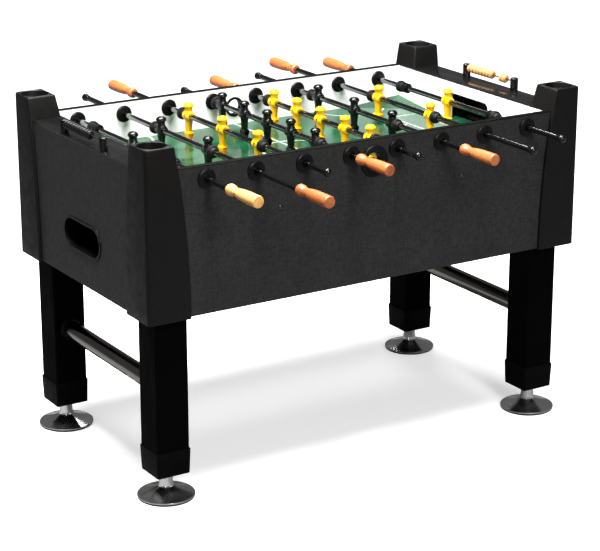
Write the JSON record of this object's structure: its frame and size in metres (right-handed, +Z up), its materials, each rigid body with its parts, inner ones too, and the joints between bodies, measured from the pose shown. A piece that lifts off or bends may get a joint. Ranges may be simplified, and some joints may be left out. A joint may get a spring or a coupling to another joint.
{
  "type": "foosball table",
  "caption": "Foosball table: laminated cabinet on legs, crossed by sliding and turning player rods, with goals, ball returns, bead scorers and levelling feet.",
  "frame": {"origin": "on the floor, under the middle of the playing field", "axes": "+X along the field from the left goal to the right goal, +Y across it to the back side, +Z up"},
  "size_m": [1.37, 1.4602, 0.969],
  "materials": {
    "panel_laminate": "fine-grained charcoal laminate, satin, white on the field side",
    "white_laminate": "white laminate",
    "gloss_black": "polished black laminate",
    "black_plastic": "satin black",
    "field_green": "glossy printed green",
    "raw_board": "unfinished fibreboard",
    "black_steel": "black zinc",
    "leg_black": "satin black laminate",
    "chrome": "polished",
    "foot_chrome": "polished",
    "rod_chrome": "polished",
    "player_black": "glossy",
    "player_yellow": "glossy",
    "handle_wood": "clear lacquer",
    "bumper_rubber": "matt",
    "bead_black": "glossy",
    "bead_wood": "clear lacquer"
  },
  "bodies": {
    "cabinet": {"front_panel": "panel_laminate", "back_panel": "panel_laminate", "left_end_panel": "panel_laminate", "right_end_panel": "panel_laminate", "end_walls": "white_laminate", "end_ledges": "gloss_black", "edge_trims": "black_plastic", "corner_posts": "black_plastic", "playfield": "field_green", "corner_ramps": "field_green", "field_battens": "raw_board", "cabinet_bottom": "raw_board", "goal_boxes": "black_plastic", "ball_returns": "black_plastic", "serve_ports": "black_plastic", "rod_bushings": "black_plastic", "panel_screws": "black_steel", "legs": "leg_black", "leg_boots": "black_plastic", "leg_stretchers": "chrome", "score_frames": "black_plastic"},
    "score_left": {"score_beads_left": "bead_black"},
    "score_right_rest": {"score_beads_right_rest": "bead_wood"},
    "score_right_won": {"score_beads_right_won": "bead_wood"},
    "foot_front_left": {"foot_front_left": "foot_chrome"},
    "foot_front_right": {"foot_front_right": "foot_chrome"},
    "foot_back_left": {"foot_back_left": "foot_chrome"},
    "foot_back_right": {"foot_back_right": "foot_chrome"},
    "rod1_slide": {"rod1_bumpers": "bumper_rubber"},
    "rod1_spin": {"rod1_shaft": "rod_chrome", "rod1_players": "player_black", "rod1_handle": "handle_wood"},
    "rod2_slide": {"rod2_bumpers": "bumper_rubber"},
    "rod2_spin": {"rod2_shaft": "rod_chrome", "rod2_players": "player_black", "rod2_handle": "handle_wood"},
    "rod3_slide": {"rod3_bumpers": "bumper_rubber"},
    "rod3_spin": {"rod3_shaft": "rod_chrome", "rod3_players": "player_yellow", "rod3_handle": "handle_wood"},
    "rod4_slide": {"rod4_bumpers": "bumper_rubber"},
    "rod4_spin": {"rod4_shaft": "rod_chrome", "rod4_players": "player_black", "rod4_handle": "handle_wood"},
    "rod5_slide": {"rod5_bumpers": "bumper_rubber"},
    "rod5_spin": {"rod5_shaft": "rod_chrome", "rod5_players": "player_yellow", "rod5_handle": "handle_wood"},
    "rod6_slide": {"rod6_bumpers": "bumper_rubber"},
    "rod6_spin": {"rod6_shaft": "rod_chrome", "rod6_players": "player_black", "rod6_handle": "handle_wood"},
    "rod7_slide": {"rod7_bumpers": "bumper_rubber"},
    "rod7_spin": {"rod7_shaft": "rod_chrome", "rod7_players": "player_yellow", "rod7_handle": "handle_wood"},
    "rod8_slide": {"rod8_bumpers": "bumper_rubber"},
    "rod8_spin": {"rod8_shaft": "rod_chrome", "rod8_players": "player_yellow", "rod8_handle": "handle_wood"}
  },
  "joints": [
    {"name": "score_left_slide", "type": "slide", "parent": "cabinet", "child": "score_left", "axis": [0, 1, 0], "range_m": [-0.057, 0]},
    {"name": "score_right_rest_slide", "type": "slide", "parent": "cabinet", "child": "score_right_rest", "axis": [0, 1, 0], "range_m": [-0.017, 0]},
    {"name": "score_right_won_slide", "type": "slide", "parent": "cabinet", "child": "score_right_won", "axis": [0, 1, 0], "range_m": [-0.024, 0.016]},
    {"name": "foot_front_left_level", "type": "slide", "parent": "cabinet", "child": "foot_front_left", "axis": [0, 0, -1], "range_m": [0, 0.02]},
    {"name": "foot_front_right_level", "type": "slide", "parent": "cabinet", "child": "foot_front_right", "axis": [0, 0, -1], "range_m": [0, 0.02]},
    {"name": "foot_back_left_level", "type": "slide", "parent": "cabinet", "child": "foot_back_left", "axis": [0, 0, -1], "range_m": [0, 0.02]},
    {"name": "foot_back_right_level", "type": "slide", "parent": "cabinet", "child": "foot_back_right", "axis": [0, 0, -1], "range_m": [0, 0.02]},
    {"name": "rod1_push", "type": "slide", "parent": "cabinet", "child": "rod1_slide", "axis": [0, 1, 0], "range_m": [-0.1261, 0.0841]},
    {"name": "rod1_turn", "type": "hinge", "parent": "rod1_slide", "child": "rod1_spin", "pos_m": [-0.5075, 0, 0.872], "axis": [0, 1, 0], "continuous": true},
    {"name": "rod2_push", "type": "slide", "parent": "cabinet", "child": "rod2_slide", "axis": [0, 1, 0], "range_m": [-0.1806, 0.1766]},
    {"name": "rod2_turn", "type": "hinge", "parent": "rod2_slide", "child": "rod2_spin", "pos_m": [-0.3625, 0, 0.872], "axis": [0, 1, 0], "continuous": true},
    {"name": "rod3_push", "type": "slide", "parent": "cabinet", "child": "rod3_slide", "axis": [0, 1, 0], "range_m": [-0.1651, 0.0691]},
    {"name": "rod3_turn", "type": "hinge", "parent": "rod3_slide", "child": "rod3_spin", "pos_m": [-0.2175, 0, 0.872], "axis": [0, 1, 0], "continuous": true},
    {"name": "rod4_push", "type": "slide", "parent": "cabinet", "child": "rod4_slide", "axis": [0, 1, 0], "range_m": [-0.1085, 0.0085]},
    {"name": "rod4_turn", "type": "hinge", "parent": "rod4_slide", "child": "rod4_spin", "pos_m": [-0.0725, 0, 0.872], "axis": [0, 1, 0], "continuous": true},
    {"name": "rod5_push", "type": "slide", "parent": "cabinet", "child": "rod5_slide", "axis": [0, 1, 0], "range_m": [-0.0595, 0.0575]},
    {"name": "rod5_turn", "type": "hinge", "parent": "rod5_slide", "child": "rod5_spin", "pos_m": [0.0725, 0, 0.872], "axis": [0, 1, 0], "continuous": true},
    {"name": "rod6_push", "type": "slide", "parent": "cabinet", "child": "rod6_slide", "axis": [0, 1, 0], "range_m": [-0.1661, 0.0681]},
    {"name": "rod6_turn", "type": "hinge", "parent": "rod6_slide", "child": "rod6_spin", "pos_m": [0.2175, 0, 0.872], "axis": [0, 1, 0], "continuous": true},
    {"name": "rod7_push", "type": "slide", "parent": "cabinet", "child": "rod7_slide", "axis": [0, 1, 0], "range_m": [-0.1876, 0.1696]},
    {"name": "rod7_turn", "type": "hinge", "parent": "rod7_slide", "child": "rod7_spin", "pos_m": [0.3625, 0, 0.872], "axis": [0, 1, 0], "continuous": true},
    {"name": "rod8_push", "type": "slide", "parent": "cabinet", "child": "rod8_slide", "axis": [0, 1, 0], "range_m": [-0.1001, 0.1101]},
    {"name": "rod8_turn", "type": "hinge", "parent": "rod8_slide", "child": "rod8_spin", "pos_m": [0.5075, 0, 0.872], "axis": [0, 1, 0], "continuous": true}
  ]
}
